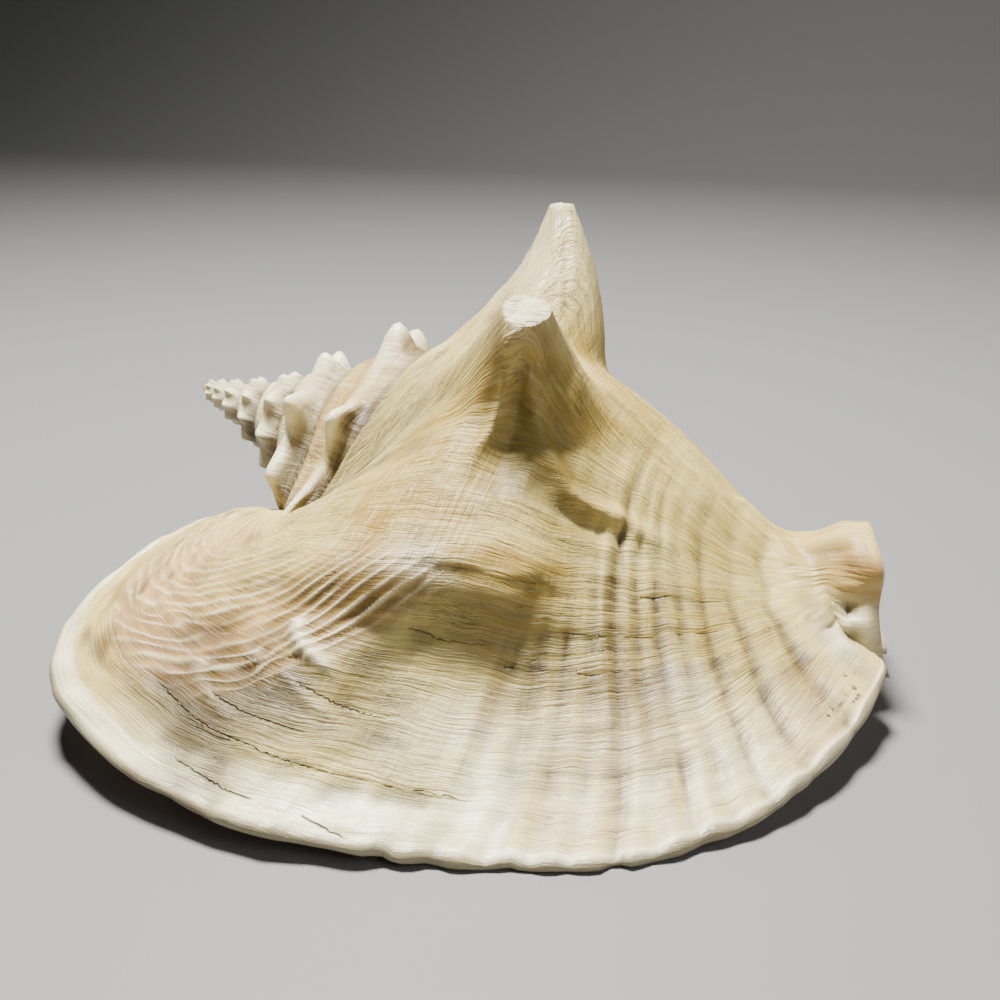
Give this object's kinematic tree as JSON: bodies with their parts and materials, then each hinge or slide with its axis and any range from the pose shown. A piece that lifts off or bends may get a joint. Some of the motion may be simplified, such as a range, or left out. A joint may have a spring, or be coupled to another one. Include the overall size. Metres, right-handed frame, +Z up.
{
  "type": "queen conch shell",
  "caption": "Large spiral sea shell with a knobbed spire, tall blunt shoulder spines, a broad flared lip and a short open canal, lying on its hollow aperture.",
  "frame": {"origin": "centre of the bounding box at its bottom, on the surface the shell lies on", "axes": "+Z up from the surface, +X from the spire's tip towards the siphonal canal, -Y towards the flared lip"},
  "size_m": [0.2368, 0.2067, 0.1328],
  "materials": {
    "shell": "satin"
  },
  "bodies": {
    "root": {"conch_shell": "shell"}
  },
  "joints": []
}
